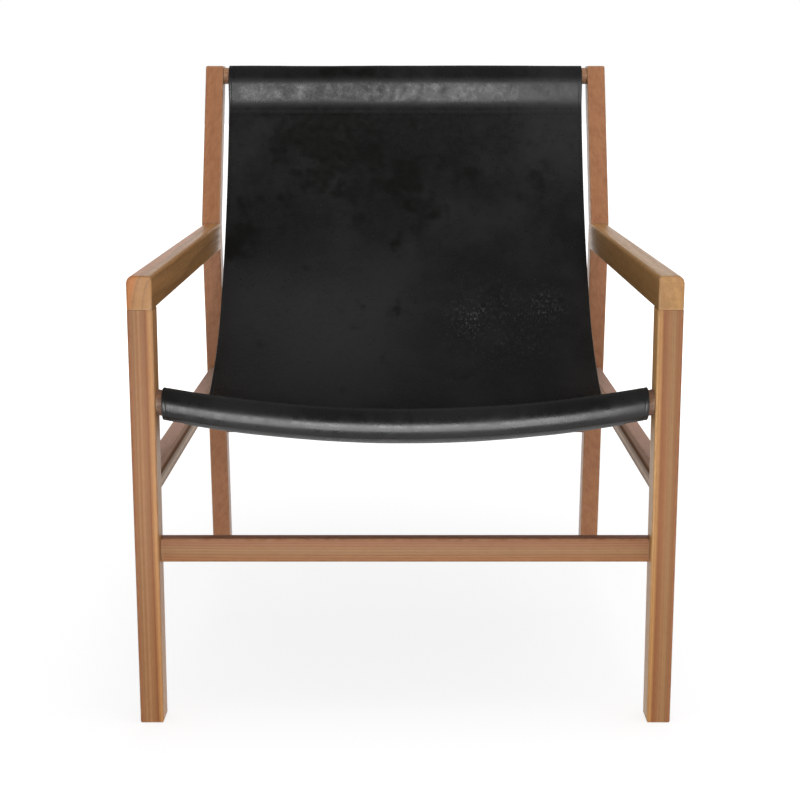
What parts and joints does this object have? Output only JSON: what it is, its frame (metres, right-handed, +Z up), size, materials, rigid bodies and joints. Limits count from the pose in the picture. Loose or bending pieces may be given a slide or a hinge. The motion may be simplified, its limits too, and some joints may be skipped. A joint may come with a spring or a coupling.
{
  "type": "leather sling lounge chair",
  "caption": "Low lounge chair with a rigid timber frame, square armrests and one leather sheet slung between a bowed front rail and a top rail to form seat and back.",
  "frame": {"origin": "on the floor, under the middle of the chair's bounding box", "axes": "+Z up, the chair faces -Y, its left arm is on -X seen from the front, and its back leans towards +Y"},
  "size_m": [0.67, 0.8704, 0.8237],
  "materials": {
    "frame_timber": "warm brown hardwood, oiled, satin, straight streaky grain",
    "leather": "black, smooth, semi-gloss with faint scuffs",
    "zinc_steel": "zinc plated, hidden inside the frame",
    "brass_insert": "plain, hidden inside the frame",
    "pin_timber": "plain pale hardwood, hidden inside the frame"
  },
  "bodies": {
    "root": {"front_leg_left": "frame_timber", "front_leg_right": "frame_timber", "armrest_left": "frame_timber", "armrest_right": "frame_timber", "rear_post_left": "frame_timber", "rear_post_right": "frame_timber", "side_rail_left": "frame_timber", "side_rail_right": "frame_timber", "front_stretcher": "frame_timber", "rear_stretcher": "frame_timber", "front_sling_rail": "frame_timber", "top_sling_rail": "frame_timber", "leather_sling": "leather", "front_rail_bolt_left": "zinc_steel", "front_rail_bolt_right": "zinc_steel", "front_rail_insert_left": "brass_insert", "front_rail_insert_right": "brass_insert", "front_rail_plug_left": "frame_timber", "front_rail_plug_right": "frame_timber", "front_rail_pin_left": "pin_timber", "front_rail_pin_right": "pin_timber", "top_rail_bolt_left": "zinc_steel", "top_rail_bolt_right": "zinc_steel", "top_rail_insert_left": "brass_insert", "top_rail_insert_right": "brass_insert", "top_rail_plug_left": "frame_timber", "top_rail_plug_right": "frame_timber", "front_stretcher_bolt_left": "zinc_steel", "front_stretcher_bolt_right": "zinc_steel", "front_stretcher_insert_left": "brass_insert", "front_stretcher_insert_right": "brass_insert", "front_stretcher_plug_left": "frame_timber", "front_stretcher_plug_right": "frame_timber", "front_stretcher_pin_left": "pin_timber", "front_stretcher_pin_right": "pin_timber", "rear_stretcher_bolt_left": "zinc_steel", "rear_stretcher_bolt_right": "zinc_steel", "rear_stretcher_insert_left": "brass_insert", "rear_stretcher_insert_right": "brass_insert", "rear_stretcher_plug_left": "frame_timber", "rear_stretcher_plug_right": "frame_timber", "rear_stretcher_pin_left": "pin_timber", "rear_stretcher_pin_right": "pin_timber"}
  },
  "joints": []
}
